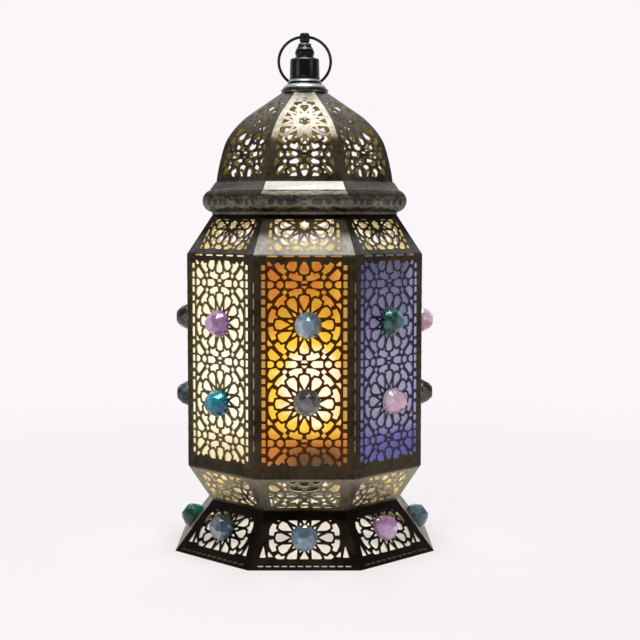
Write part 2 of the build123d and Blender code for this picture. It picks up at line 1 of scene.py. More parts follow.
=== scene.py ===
from math import cos, pi, radians, sin, tan

import bpy
from mathutils import Matrix, Vector


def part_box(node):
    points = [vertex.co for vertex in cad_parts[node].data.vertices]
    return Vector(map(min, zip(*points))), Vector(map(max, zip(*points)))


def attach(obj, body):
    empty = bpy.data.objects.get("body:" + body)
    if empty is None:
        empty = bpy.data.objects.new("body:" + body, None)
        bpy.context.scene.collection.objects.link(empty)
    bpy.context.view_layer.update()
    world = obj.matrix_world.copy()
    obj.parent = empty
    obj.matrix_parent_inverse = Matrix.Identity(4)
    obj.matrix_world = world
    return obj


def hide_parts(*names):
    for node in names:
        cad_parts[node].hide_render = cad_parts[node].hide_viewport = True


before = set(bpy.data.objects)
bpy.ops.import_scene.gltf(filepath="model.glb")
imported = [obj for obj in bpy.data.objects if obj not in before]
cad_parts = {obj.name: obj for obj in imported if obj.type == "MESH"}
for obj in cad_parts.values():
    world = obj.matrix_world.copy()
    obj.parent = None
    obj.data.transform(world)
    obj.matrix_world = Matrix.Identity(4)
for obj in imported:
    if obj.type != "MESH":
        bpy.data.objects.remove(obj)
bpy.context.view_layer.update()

# Base skirt: one sheet of dark lacquered steel, cut by laser, folded at perforated lines into eight
# sloping sides with a hem to stand on, and soldered. A lip at the waist takes the rivets.
mm = 0.001
sides = ("front", "front_right", "right", "back_right", "back", "back_left", "left", "front_left")
side_turn = radians(360 / len(sides))
half_corner = tan(side_turn / 2)
sheet = 0.8 * mm
spare = 2 * mm
tolerance = 1e-6
base_edge = Vector((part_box("base_skirt")[1].y, 0))
waist_edge = Vector((72.5 * mm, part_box("base_skirt")[1].z))


def take_up(piece):
    """Leave one piece selected and active, and nothing else."""
    bpy.ops.object.select_all(action="DESELECT")
    piece.select_set(True)
    bpy.context.view_layer.objects.active = piece


def settle(piece):
    """Fix a piece where it has been put, so that its own frame is the lantern's."""
    take_up(piece)
    bpy.ops.object.transform_apply()


def weld(piece):
    """Merge the points of a piece that coincide, and turn its faces outwards."""
    take_up(piece)
    bpy.ops.object.mode_set(mode="EDIT")
    bpy.ops.mesh.select_all(action="SELECT")
    bpy.ops.mesh.remove_doubles(threshold=tolerance)
    bpy.ops.mesh.normals_make_consistent(inside=False)
    bpy.ops.object.mode_set(mode="OBJECT")


def mark_faces(piece, name, value):
    """Store a number for each face of a piece, which its finish looks up by name."""
    marks = piece.data.attributes.new(name, "FLOAT", "FACE")
    for face, mark in zip(piece.data.polygons, marks.data):
        mark.value = float(value(face))


def rounded(corners, radius, steps=2):
    """Outline through corner points, with each corner rounded off as the cutting beam leaves it."""
    outline = []
    longest_share = 0.45
    for i, corner in enumerate(corners):
        legs = [corners[i - 1] - corner, corners[(i + 1) % len(corners)] - corner]
        start, end = [corner + leg * min(radius / leg.length, longest_share) for leg in legs]
        for step in range(steps + 1):
            share = step / steps
            outline.append(start.lerp(corner, share).lerp(corner.lerp(end, share), share))
    return outline


def cut_sheet(name, outline, cells, thickness=sheet):
    """Flat sheet with cells cut out of it, its outer face on the XY plane and the rest below.

    Its back and its cut edges are marked, where the sheet is left in its dull brass wash.
    """
    drawing = bpy.data.curves.new(name, "CURVE")
    drawing.dimensions = "2D"
    drawing.fill_mode = "BOTH"
    drawing.extrude = thickness / 2
    for loop in [outline] + cells:
        spline = drawing.splines.new("POLY")
        spline.points.add(len(loop) - 1)
        for point, place in zip(spline.points, loop):
            point.co = (place[0], place[1], 0, 1)
        spline.use_cyclic_u = True
    piece = bpy.data.objects.new(name, drawing)
    bpy.context.collection.objects.link(piece)
    take_up(piece)
    bpy.ops.object.convert(target="MESH")
    piece.location.z = -thickness / 2
    settle(piece)
    weld(piece)
    mark_faces(piece, "inside", lambda face: face.normal.z < 0.5)
    return piece


def trim(piece, *cuts):
    """Saw a piece off at planes, each a point and the direction of the waste, and close the cut ends."""
    take_up(piece)
    bpy.ops.object.mode_set(mode="EDIT")
    for point, waste in cuts:
        bpy.ops.mesh.select_all(action="SELECT")
        bpy.ops.mesh.bisect(
            plane_co=point, plane_no=waste, use_fill=True, clear_outer=True, threshold=tolerance
        )
    bpy.ops.object.mode_set(mode="OBJECT")


def mitre(piece, low, high):
    """Cut the front side's piece to its wedge of the case, between two levels."""
    across, along = cos(side_turn / 2), sin(side_turn / 2)
    trim(
        piece,
        ((0, 0, low), (0, 0, -1)),
        ((0, 0, high), (0, 0, 1)),
        ((0, 0, 0), (across, along, 0)),
        ((0, 0, 0), (-across, along, 0)),
    )


def lean(piece, low, high):
    """Stand a flat piece up as the front wall between two (half width, height) edges of the case."""
    up = Vector((0, low.x - high.x, high.y - low.y)).normalized()
    across = Vector((1, 0, 0))
    turn = Matrix((across, up, across.cross(up))).transposed().to_4x4()
    middle = (low + high) / 2
    piece.matrix_world = Matrix.Translation((0, -middle.x, middle.y)) @ turn
    settle(piece)


def round_the_case(piece):
    """Copies of the front side's piece for every side, in the order of the sides."""
    copies = []
    for side in range(len(sides)):
        copy = piece.copy()
        copy.data = piece.data.copy()
        bpy.context.collection.objects.link(copy)
        copy.rotation_euler.z = side * side_turn
        settle(copy)
        copies.append(copy)
    bpy.data.objects.remove(piece)
    return copies


def joined(name, pieces):
    """Several pieces soldered into one."""
    take_up(pieces[0])
    for piece in pieces:
        piece.select_set(True)
    bpy.ops.object.join()
    pieces[0].name = name
    return pieces[0]


# Corner points of the fretwork's cells in one repeat, in millimetres about the heart of its rosette
repeat = 58.6
petal = ((10.8, 0), (17.2, 3.3), (20.6, 3.1), (21.6, 0), (20.6, -3.1), (17.2, -3.3))
seed = ((8.2, 0), (10.2, 1.0), (12.6, 0), (10.2, -1.0))
boot = (
    (22.7, -4.5), (25.9, -4.9), (26.8, 0), (25.9, 4.9), (22.7, 4.5), (23.0, 1.4), (20.5, 0), (23.0, -1.4),
)
almond = ((17.9, 24.1), (21.0, 26.4), (25.3, 25.3), (26.8, 21.0), (24.4, 17.8))
chip = ((23.4, 15.2), (26.6, 15.6), (27.0, 13.6), (26.7, 11.4))
rhomb = ((12.5, 24.0), (14.4, 25.5), (16.3, 23.6), (14.2, 21.8))
bullet = ((4.7, 29.3), (6.8, 31.6), (13.6, 31.6), (13.6, 27.0), (6.8, 27.0))
thumb = ((22.6, 30.2), (24.0, 31.5), (26.8, 31.5), (26.8, 27.1), (24.0, 27.1), (22.6, 28.4))
wedges = (((-2.3, 30.4), (2.3, 30.4), (1.7, 32.0), (-1.7, 32.0)), ((-2.0, 28.2), (2.0, 28.2), (0, 26.4)))
bead_centre, bead_radius = (17.8, 29.3), 2.5
heart_star = [
    Matrix.Rotation(radians(30 * k), 2) @ Vector((5.0 if k % 2 else 3.6, 0)) for k in range(1, 13)
]
border_x, border_width = 30.1, 2.5
border_dashes = (
    (0, 4.4), (8.8, 7.4), (16.8, 3.4), (23.5, 3.6), (-8.8, 7.4), (-16.8, 3.4), (-23.5, 3.6), (29.3, 4.6),
)


def rectangle(middle, width, height):
    """Corner points of an upright rectangle, counter-clockwise."""
    x, y = width / 2, height / 2
    return [Vector(middle) + Vector(corner) for corner in ((-x, -y), (x, -y), (x, y), (-x, y))]


def rosette_cells(open_heart):
    """All cells of one repeat of the fretwork, as corner points about the rosette's heart."""
    petals = 12
    step = 360 / petals
    cells = [[Vector(corner) for corner in wedge] for wedge in wedges]
    if open_heart:
        cells.append(heart_star)
    for k in range(petals):
        for cell, angle in ((petal, step * k), (seed, step * (k + 0.5)), (boot, step * (k + 0.5))):
            turn = Matrix.Rotation(radians(angle), 2)
            cells.append([turn @ Vector(corner) for corner in cell])
    ring = [Matrix.Rotation(radians(45 * k), 2) @ Vector((bead_radius, 0)) for k in range(8)]
    bead = [Vector(bead_centre) + corner for corner in ring]
    for right in (1, -1):
        for cell in (almond, chip, rhomb):
            for up in (1, -1):
                cells.append([Vector((right * x, up * y)) for x, y in cell])
        for cell in (bullet, thumb, bead):
            cells.append([Vector((right * x, y)) for x, y in cell])
        for height, length in border_dashes:
            cells.append(rectangle((right * border_x, height), border_width, length))
    return cells


def widened(cell, kerf):
    """A cell with every edge moved outwards by the width that the beam burns away."""
    turn = 1 if sum(cell[i - 1].cross(corner) for i, corner in enumerate(cell)) > 0 else -1
    corners = []
    for i, corner in enumerate(cell):
        runs = (corner - cell[i - 1]).normalized(), (cell[(i + 1) % len(cell)] - corner).normalized()
        outward = [Vector((run.y, -run.x)) * turn for run in runs]
        corners.append(corner + (outward[0] + outward[1]) * kerf / (1 + outward[0].dot(outward[1])))
    return corners


def clipped(cell, window):
    """The part of a cell inside a convex counter-clockwise window."""
    shortest = 0.15
    for start, end in zip(window, window[1:] + window[:1]):
        depth = [(end - start).cross(corner - start) for corner in cell]
        kept = []
        for i, corner in enumerate(cell):
            if (depth[i] > 0) != (depth[i - 1] > 0):
                kept.append(cell[i - 1].lerp(corner, depth[i - 1] / (depth[i - 1] - depth[i])))
            if depth[i] > 0:
                kept.append(corner)
        cell = [corner for i, corner in enumerate(kept) if (corner - kept[i - 1]).length > shortest]
    return cell


def fretwork(window, hearts, kerf=0.0, scale=1.0, open_heart=False):
    """Rounded cells of the fretwork with rosettes at some hearts, cut off by a convex window."""
    smallest, corner_radius = 1.6, 0.75
    cells = []
    for heart in hearts:
        for cell in rosette_cells(open_heart):
            cell = clipped([Vector(heart) + corner * scale for corner in widened(cell, kerf)], window)
            area = abs(sum(corner.cross(cell[i - 1]) for i, corner in enumerate(cell))) / 2
            if len(cell) > 2 and area > smallest:
                cells.append([point * mm for point in rounded(cell, corner_radius)])
    return cells


def fold_slots(start, end, length=8.0, pitch=11.7, width=1.3):
    """Row of slots that perforates a fold from one point to another, in millimetres."""
    start, end = Vector(start), Vector(end)
    run = end - start
    count = int((run.length - length) / pitch) + 1
    along = run.normalized()
    side = Vector((-along.y, along.x)) * width / 2
    corner_radius = 0.4
    slots = []
    for k in range(count):
        middle = (start + end) / 2 + along * (k - (count - 1) / 2) * pitch
        ends = middle - along * length / 2, middle + along * length / 2
        corners = [ends[0] - side, ends[1] - side, ends[1] + side, ends[0] + side]
        slots.append([point * mm for point in rounded(corners, corner_radius)])
    return slots


def wall(name, low, high, window, hearts, slots, **pattern):
    """The eight pierced sides between two edges of the case, mitred at the corners."""
    length = (high - low).length
    growth = (high.x - low.x) / length * half_corner * spare
    foot, head = low.x * half_corner - growth + spare, high.x * half_corner + growth + spare
    reach = length / 2 + spare
    outline = [(-foot, -reach), (foot, -reach), (head, reach), (-head, reach)]
    side = cut_sheet(name, outline, fretwork([Vector(p) for p in window], hearts, **pattern) + slots)
    lean(side, low, high)
    mitre(side, low.y, high.y)
    return round_the_case(side)


def octagon(half_width):
    """Corner points of the case's outline."""
    radius = half_width / cos(side_turn / 2)
    angles = [(k + 0.5) * side_turn for k in range(len(sides))]
    return [Vector((radius * cos(a), radius * sin(a))) for a in angles]


def lip(outer, width, height, hole_radius=0.0):
    """Level turned-in lip whose upper face is at a height, drilled for rivets if these have a radius."""
    rivet_inset = 6.5 * mm
    holes = [octagon(outer - width)]
    for side in range(len(sides)):
        if hole_radius:
            middle = Matrix.Rotation(side * side_turn, 2) @ Vector((waist_edge.x - rivet_inset, 0))
            ring = [Matrix.Rotation(k * side_turn, 2) @ Vector((hole_radius, 0)) for k in range(8)]
            holes.append(rounded([middle + corner for corner in ring], hole_radius))
    piece = cut_sheet("lip", octagon(outer), holes)
    piece.location.z = height
    settle(piece)
    return piece


class Socket:
    """One output in a material's node tree. Sums and products of sockets add Math nodes."""

    def __init__(self, tree, output=None):
        self.tree = tree
        self.output = output

    def node(self, kind, settings=None, inputs=None, output=0):
        """Add a node of a type, with its settings and the values or links of its sockets."""
        made = self.tree.nodes.new(kind)
        for name, value in (settings or {}).items():
            if name == "stops":
                while len(made.color_ramp.elements) < len(value):
                    made.color_ramp.elements.new(0.5)
                for element, (position, colour) in zip(made.color_ramp.elements, value):
                    element.position = position
                    element.color = (*colour, 1)
            else:
                setattr(made, name, value)
        for name, value in (inputs or {}).items():
            if isinstance(value, Socket):
                self.tree.links.new(value.output, made.inputs[name])
            else:
                made.inputs[name].default_value = value
        return Socket(self.tree, made.outputs[output] if made.outputs else None)

    def math(self, operation, *values):
        """A Math node on sockets and numbers."""
        return self.node("ShaderNodeMath", {"operation": operation}, dict(enumerate(values)))

    def __add__(self, other):
        return self.math("ADD", self, other)

    def __sub__(self, other):
        return self.math("SUBTRACT", self, other)

    def __rsub__(self, other):
        return self.math("SUBTRACT", other, self)

    def __mul__(self, other):
        return self.math("MULTIPLY", self, other)

    def __truediv__(self, other):
        return self.math("DIVIDE", self, other)

    __radd__ = __add__
    __rmul__ = __mul__

    def mix(self, first, second):
        """Colour between two colours or colour sockets, by this value."""
        colours = [c if isinstance(c, Socket) else (*c, 1) for c in (first, second)]
        settings = {"data_type": "RGBA", "clamp_factor": True}
        return self.node("ShaderNodeMix", settings, {0: self, 6: colours[0], 7: colours[1]}, 2)

    def ramp(self, *stops):
        """Colour looked up along stops of (position, colour)."""
        return self.node("ShaderNodeValToRGB", {"stops": stops}, {"Fac": self})

    def band(self, low, high):
        """This value as a smooth step from 0 at one level to 1 at another."""
        settings = {"interpolation_type": "SMOOTHSTEP"}
        return self.node("ShaderNodeMapRange", settings, {"Value": self, "From Min": low, "From Max": high})

    def noise(self, scale, detail=3.0):
        """Cloudy noise over this vector."""
        return self.node("ShaderNodeTexNoise", {}, {"Vector": self, "Scale": scale, "Detail": detail})

    def height(self):
        """The third coordinate of this vector."""
        return self.node("ShaderNodeSeparateXYZ", {}, {"Vector": self}, 2)

    def bump(self, strength, distance):
        """Normals of a surface that this value raises."""
        return self.node("ShaderNodeBump", {}, {"Strength": strength, "Distance": distance, "Height": self})


def new_tree(name):
    """An empty material and a socket to start its nodes from."""
    material = bpy.data.materials.new(name)
    material.use_nodes = True
    material.node_tree.nodes.clear()
    return material, Socket(material.node_tree)


def object_place(start):
    """The point of the object that is shaded, in metres in the lantern's frame."""
    return start.node("ShaderNodeTexCoord", output=3)


def marked(start, name, output=2):
    """What is stored under a name on the piece that is shaded."""
    return start.node("ShaderNodeAttribute", {"attribute_name": name}, {}, output)


def finish_surface(start, inputs):
    """Join a shader with these inputs to the material's output."""
    inputs = {k: (*v, 1) if isinstance(v, tuple) and len(v) == 3 else v for k, v in inputs.items()}
    shader = start.node("ShaderNodeBsdfPrincipled", {}, inputs)
    start.node("ShaderNodeOutputMaterial", {}, {"Surface": shader})


def antique_metal(name, blackened, bands_rubbed_and_painted):
    """Blackened steel sheet, wiped back to bare metal in bands of height, cloudy and finely pitted.

    Marked faces stay black, bars in front of a lit pane carry its painted glow as a tint, some bands carry
    painted reflections and painted shade, and the inside has a brass wash, pale in the lower case and deeper
    in the dome.
    """
    material, start = new_tree(name)
    place = object_place(start)
    height = place.height()
    clouds = place.noise(38.0, 5.0)
    blots = place.noise(260.0, 4.0)
    pits = place.noise(1400.0, 2.0)
    inside = marked(start, "inside")
    recess = marked(start, "recess")
    patchy = (clouds * 0.6 + blots * 0.4).band(0.36, 0.62)
    outside = patchy.mix(*blackened)
    soft_edge = 1 * mm
    for low, fade, high, dull, bright in bands_rubbed_and_painted:
        in_band = height.band(low, low + soft_edge) - height.band(fade, high) - recess
        outside = in_band.mix(outside, patchy.mix(dull, bright))
    # Painted glow: the bars in front of a lit pane take the pane's colour.
    outside = marked(start, "spill").mix(outside, marked(start, "tint", 0))
    low_wash = patchy.mix((0.36, 0.33, 0.19), (0.48, 0.45, 0.29))
    high_wash = patchy.mix((0.10, 0.085, 0.026), (0.22, 0.19, 0.062))
    wash = height.band(0.222, 0.284).mix(low_wash, high_wash)
    inputs = {
        "Base Color": inside.mix(outside, wash),
        "Metallic": 1 - inside * 0.75,
        "Roughness": 0.24 + patchy * 0.10 + pits * 0.08 + inside * 0.3,
        "Normal": (pits * 0.5 + blots).bump(0.3, 0.00015),
    }
    finish_surface(start, inputs)
    return material


def dress(piece, material, slot, *nodes, body="lantern", smooth=30):
    """Give a piece its finish and its body, in place of the nodes that it stands for."""
    take_up(piece)
    bpy.ops.object.shade_smooth_by_angle(angle=radians(smooth))
    piece.data.materials.clear()
    piece.data.materials.append(material)
    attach(piece, body)
    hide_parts(*nodes)


# The black's two tones, then bands of height: some wiped bare, some left darker, and some painted with light
# and shade. Each has its foot, the start and end of the fade at its head, and two tones.
case_metal = antique_metal(
    "case_metal",
    ((0.025, 0.0185, 0.0100), (0.056, 0.043, 0.025)),
    (
        (-0.002, 0.0372, 0.0382, (0.0075, 0.0052, 0.0032), (0.016, 0.012, 0.008)),
        # Flare: a lighter rubbed tone, which also serves as a painted reflection of the pale floor.
        (0.0382, 0.065, 0.066, (0.20, 0.172, 0.122), (0.33, 0.29, 0.215)),
        # Shoulder: painted shade from the cornice above, with its lower margin painted lighter as a painted
        # reflection of the softbox.
        (0.2315, 0.2605, 0.2615, (0.011, 0.0078, 0.004), (0.023, 0.0165, 0.009)),
        (0.2315, 0.240, 0.250, (0.085, 0.079, 0.070), (0.185, 0.176, 0.158)),
        # Cornice and dome: a lighter rubbed tone, which is also a painted reflection of the softbox; the
        # dome's lower wall is then left darker and warmer.
        (0.2605, 0.5, 0.501, (0.082, 0.073, 0.058), (0.190, 0.176, 0.150)),
        (0.2862, 0.314, 0.332, (0.036, 0.027, 0.015), (0.104, 0.085, 0.058)),
        # Cornice's upper strip: lighter and greyer, a painted highlight of the softbox over the rubbed tone.
        (0.2792, 0.2855, 0.2862, (0.12, 0.114, 0.104), (0.195, 0.187, 0.173)),
    ),
)
skirt_gem_up = 2.6
skirt_window = [(-27.2, -14.6), (27.2, -14.6), (25.8, 16.5), (-25.8, 16.5)]
skirt_length = (waist_edge - base_edge).length / mm
skirt_corner = base_edge.x * half_corner / mm
hem_line, hem_end = -skirt_length / 2 + 3.2, skirt_corner - 5
spike_radius = 0.6
skirt_slots = fold_slots((-hem_end, hem_line), (hem_end, hem_line), length=4.2, pitch=5.9)
for right in (1, -1):
    spike = [Vector((right * x, y)) for x, y in ((28.6, -13.4), (33.2, -13.4), (30.4, -4.0))]
    skirt_slots.append([point * mm for point in rounded(spike, spike_radius)])
skirt_sides = wall(
    "skirt_side", base_edge, waist_edge, skirt_window, [(0, skirt_gem_up)], skirt_slots, kerf=0.15
)
hem_inset, hem_width = 0.7 * mm, 7 * mm
lip_inset, waist_lip_width, rivet_hole = 0.3 * mm, 12 * mm, 2 * mm
skirt_lips = [
    lip(base_edge.x - hem_inset, hem_width, sheet),
    lip(waist_edge.x - lip_inset, waist_lip_width, waist_edge.y, rivet_hole),
]
skirt = joined("skirt", skirt_sides + skirt_lips)
dress(skirt, case_metal, "case_metal", "base_skirt")

# Lower flare: the same sheet metal, folded into an eight-sided collar that spreads from the waist
# to the body. Its lip lies on the skirt's lip, and rivets and the bridge's screws hold the two.
body_low = Vector((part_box("lower_flare")[1].y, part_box("lower_flare")[1].z))
flare_window = [(-24.5, -13.2), (24.5, -13.2), (29.0, 13.2), (-29.0, 13.2)]
flare_hearts = [(0, -repeat / 2), (0, repeat / 2)]
flare_sides = wall("flare_side", waist_edge, body_low, flare_window, flare_hearts, [])
flare_lip = lip(waist_edge.x - lip_inset, waist_lip_width, waist_edge.y + sheet, rivet_hole)
flare = joined("flare", flare_sides + [flare_lip])
dress(flare, case_metal, "case_metal", "lower_flare")

# Waist fixings: steel rivets close the two lips, and a steel strap lies across them on two screws
# with nuts. All are zinc plated, dull and a little blotchy.


def dress_node(material, *names):
    """Give nodes of the model that keep their shape a finish."""
    for name in names:
        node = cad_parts[name]
        node.data.materials.clear()
        node.data.materials.append(material)


def plated(name, dull, bright, rough, scale=90.0, highlight_bands=()):
    """Plated or bare metal with clouds of tarnish and fine drawing marks.

    It may have bands of height painted lighter and rougher as painted highlights, each given by its two
    edges and how bright the metal is there.
    """
    material, start = new_tree(name)
    place = object_place(start)
    tarnish = place.noise(scale, 4.0).band(0.35, 0.65)
    marks = place.noise(scale * 12, 2.0)
    height = place.height()
    colour = tarnish.mix(dull, bright)
    highlight_share, soft_edge = 0.0, 0.6 * mm
    for low, high, highlight_tone in highlight_bands:
        in_highlight = height.band(low, low + soft_edge) - height.band(high - soft_edge, high)
        highlight_tones = (highlight_tone, highlight_tone, 0.97 * highlight_tone), (1.3 * highlight_tone, 1.3 * highlight_tone, 1.27 * highlight_tone)
        colour = in_highlight.mix(colour, tarnish.mix(*highlight_tones))
        highlight_share = in_highlight + highlight_share
    inputs = {
        "Base Color": colour,
        "Metallic": 1.0,
        "Roughness": rough + (1 - tarnish) * 0.12 + marks * 0.06 + highlight_share * 0.2,
        "Normal": marks.bump(0.2, 0.0001),
    }
    finish_surface(start, inputs)
    return material


plated_steel = plated("plated_steel", (0.36, 0.36, 0.37), (0.60, 0.60, 0.62), 0.26)
dress_node(plated_steel, "waist_rivets", "lamp_bridge", "bridge_screws", "bridge_nuts")

# Lampholder: a black moulded shell on a hollow brass nipple, clamped to the strap by a washer and
# a nut, with a ceramic block inside that carries the brass thread and contact.
dress_node(plated_steel, "nipple_washer", "nipple_nut")
brass = plated("brass", (0.42, 0.27, 0.09), (0.66, 0.46, 0.17), 0.24)
dress_node(brass, "holder_nipple", "screw_shell", "centre_contact")


def moulded(name, dark, light, rough, grain):
    """Moulded body, mottled and with a fine grain."""
    material, start = new_tree(name)
    place = object_place(start)
    mottle = place.noise(120.0, 4.0)
    grains = place.noise(grain, 2.0)
    inputs = {
        "Base Color": mottle.band(0.3, 0.7).mix(dark, light),
        "Roughness": rough + grains * 0.15,
        "Coat Weight": 0.15,
        "Normal": grains.bump(0.25, 0.0001),
    }
    finish_surface(start, inputs)
    return material


holder_plastic = moulded("holder_plastic", (0.012, 0.011, 0.010), (0.030, 0.027, 0.024), 0.34, 1600.0)
block_ceramic = moulded("block_ceramic", (0.62, 0.60, 0.55), (0.76, 0.74, 0.69), 0.22, 700.0)
dress_node(holder_plastic, "holder_shell")
dress_node(block_ceramic, "terminal_block")

# Lamp: a frosted round bulb, lit, in a crimped metal cap with a soldered contact. It screws into the holder
# and lights the inside of the case, while the glow of the panes is painted into them.
cap_metal = plated("cap_metal", (0.42, 0.41, 0.39), (0.66, 0.65, 0.62), 0.30)
contact_metal = plated("contact_metal", (0.30, 0.30, 0.30), (0.52, 0.52, 0.53), 0.34, 300.0)
dress_node(cap_metal, "lamp_cap")
dress_node(contact_metal, "lamp_contact")
bulb_glass, start = new_tree("bulb_glass")
frost = object_place(start).noise(45.0)
bulb_inputs = {
    "Base Color": (0.80, 0.78, 0.72),
    "Roughness": 0.45,
    "Emission Color": frost.mix((1.0, 0.82, 0.42), (1.0, 0.88, 0.54)),
    "Emission Strength": 24.0,
}
finish_surface(start, bulb_inputs)
dress_node(bulb_glass, "lamp_glass")

# Body panels: the eight pierced walls, cut from sheet in a pattern of rosettes and folded at the corners
# along rows of slots. Each is soldered to its neighbours, and its bars carry a faint painted glow in the
# colour of the lit pane behind them.
body_high = Vector((body_low.x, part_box("panel_front")[1].z))
panel_half = body_low.x * half_corner / mm
panel_rise = (body_high.y - body_low.y) / 2 / mm
window_lift = 2.4
window_width, window_height = 63.4, 151.0
panel_window = rectangle((0, window_lift), window_width, window_height)
panel_hearts = [(0, window_lift + repeat * k) for k in (-1.5, -0.5, 0.5, 1.5)]
row_end, fold_end = 30, panel_rise - 14
corner_slots = fold_slots((-row_end, panel_rise), (row_end, panel_rise))
for x in (-panel_half, panel_half):
    corner_slots += fold_slots((x, -fold_end), (x, fold_end), width=0.8)
panels = wall("panel", body_low, body_high, panel_window, panel_hearts, corner_slots, kerf=0.2)
pane_order = ("amber", "violet", "red", "violet", "amber", "cream", "red", "cream")
# Painted glow: the colour that each lit pane's light lays on the bars in front of it.
painted_bar_glow = {
    "amber": (0.098, 0.022, 0.0006),
    "violet": (0.033, 0.032, 0.098),
    "red": (0.07, 0.01, 0.005),
    "cream": (0.12, 0.09, 0.028),
}


def paint_pane_glow(panel, tone):
    """Mark the bars inside a panel's window for the pane's painted glow, which fades out at the window's two
    ends.
    """
    full, fade, border = 0.72, 5, 0.5
    panel.data.attributes.new("spill", "FLOAT", "POINT")
    panel.data.attributes.new("tint", "FLOAT_COLOR", "POINT")
    painted_glow_shares, painted_glow_tints = [panel.data.attributes[name].data for name in ("spill", "tint")]
    for vertex, spill, tint in zip(panel.data.vertices, painted_glow_shares, painted_glow_tints):
        up = (vertex.co.z - (body_low.y + body_high.y) / 2) / mm - window_lift
        aside_squared = (vertex.co.xy.length / mm) ** 2 - (body_low.x / mm) ** 2
        inwards = min(max((window_height / 2 - abs(up)) / fade, 0), 1)
        spill.value = full * inwards * float(aside_squared < (window_width / 2 - border) ** 2)
        tint.color = (*tone, 1)


for side, colour, panel in zip(sides, pane_order, panels):
    paint_pane_glow(panel, painted_bar_glow[colour])
    panel.name = f"fret_panel_{side}"
    dress(panel, case_metal, "case_metal", f"panel_{side}")

# Panes: sheets of translucent coloured acrylic that lie on the backs of the panels in spring clips.
# The lamp's light through each is painted into its emission: a bright pool in the middle, and a painted
# shadow of the lampholder at its foot. A colour's painted tones are the pool, inner, middle and rim of the
# glow, the foot, its painted shade and the right edge.
painted_pane_glow = {
    "amber": (
        (1.0, 0.95, 0.72), (0.93, 0.63, 0.03), (0.82, 0.37, 0.008), (0.36, 0.10, 0.003),
        (0.62, 0.17, 0.012), (0.05, 0.022, 0.006), (0.90, 0.52, 0.05),
    ),
    "violet": (
        (0.29, 0.27, 0.39), (0.235, 0.22, 0.35), (0.15, 0.138, 0.265), (0.064, 0.060, 0.130),
        (0.10, 0.087, 0.34), (0.075, 0.062, 0.28), (0.36, 0.345, 0.56),
    ),
    "red": (
        (1.0, 0.45, 0.30), (0.80, 0.12, 0.06), (0.50, 0.04, 0.03), (0.30, 0.02, 0.02),
        (0.20, 0.01, 0.01), (0.06, 0.01, 0.01), (0.50, 0.05, 0.03),
    ),
    "cream": (
        (1.0, 0.94, 0.78), (1.0, 0.92, 0.73), (1.0, 0.89, 0.66), (0.95, 0.82, 0.55),
        (0.90, 0.77, 0.48), (0.80, 0.66, 0.38), (1.0, 0.93, 0.76),
    ),
}
amber_golden, amber_ruddy, amber_border = (0.50, 0.26, 0.006), (0.54, 0.105, 0.011), (0.30, 0.17, 0.055)
glow_shift, glow_height, glow_half_width, glow_half_height = 0.005, 0.135, 0.025, 0.031
holder_shift = 0.009
for number, (side, colour) in enumerate(zip(sides, pane_order)):
    material, start = new_tree(f"pane_{side}")
    place = object_place(start)
    along = Vector((cos(number * side_turn), sin(number * side_turn), 0))
    across = start.node("ShaderNodeVectorMath", {"operation": "DOT_PRODUCT"}, {0: place, 1: along}, 1)
    height = place.height()
    x = (across - glow_shift) / glow_half_width
    y = (height - glow_height) / glow_half_height
    spread = x * x + y * y
    patches = place.noise(75.0) * 0.16 + place.noise(190.0, 1.0) * 0.14 - 0.15
    reach = spread.math("SQRT", spread) / 4 + patches
    pool, inner, middle, rim, foot, shade, edge = painted_pane_glow[colour]
    # Painted glow of the lamp: a pool with rings and a lighter right edge; amber also varies in hue and is
    # dimmer at its border.
    glow = reach.ramp((0.19, pool), (0.27, inner), (0.45, middle), (0.74, rim))
    if colour == "amber":
        hue = place.noise(130.0, 1.0).band(0.42, 0.58)
        glow = (reach.band(0.36, 0.50) * 0.6).mix(glow, hue.mix(amber_golden, amber_ruddy))
    glow = (across.band(0.016, 0.032) * 0.7).mix(glow, edge)
    if colour == "amber":
        glow = (across.math("ABSOLUTE", across).band(0.0278, 0.0288) * 0.7).mix(glow, amber_border)
    # Painted shade: the glow turns to the foot's colour low down, and the lampholder's painted shadow
    # darkens the middle of the foot.
    low = height.band(0.107, 0.089).mix(glow, foot)
    aside = across.math("ABSOLUTE", across - holder_shift)
    holder_shade = height.band(0.100, 0.082) * (1 - aside.band(0.008, 0.034) * 0.8)
    inputs = {
        "Base Color": tuple(0.12 * tone for tone in middle),
        "Roughness": 0.35,
        "Emission Color": holder_shade.mix(low, shade),
        "Emission Strength": 1.0,
    }
    finish_surface(start, inputs)
    dress_node(material, f"pane_{side}")
dress_node(plated_steel, "pane_clips")

# Stones: flat-backed faceted acrylic, foiled behind, glued by hand over the hearts of the rosettes
# and on the skirt, each turned a little differently.
gem_colours = {
    "pale": ((0.065, 0.12, 0.165), (0.18, 0.28, 0.36), (0.48, 0.58, 0.70)),
    "emerald": ((0.0, 0.030, 0.030), (0.0, 0.20, 0.15), (0.01, 0.52, 0.43)),
    "rose": ((0.36, 0.17, 0.26), (0.62, 0.38, 0.50), (0.86, 0.68, 0.78)),
    "lilac": ((0.30, 0.14, 0.32), (0.54, 0.33, 0.56), (0.80, 0.62, 0.82)),
    "teal": ((0.0, 0.07, 0.16), (0.0, 0.34, 0.44), (0.08, 0.66, 0.74)),
    "smoke": ((0.018, 0.018, 0.016), (0.085, 0.078, 0.072), (0.28, 0.27, 0.29)),
    "sapphire": ((0.014, 0.020, 0.032), (0.10, 0.13, 0.17), (0.38, 0.44, 0.52)),
}
dull_gems = ("smoke", "sapphire")
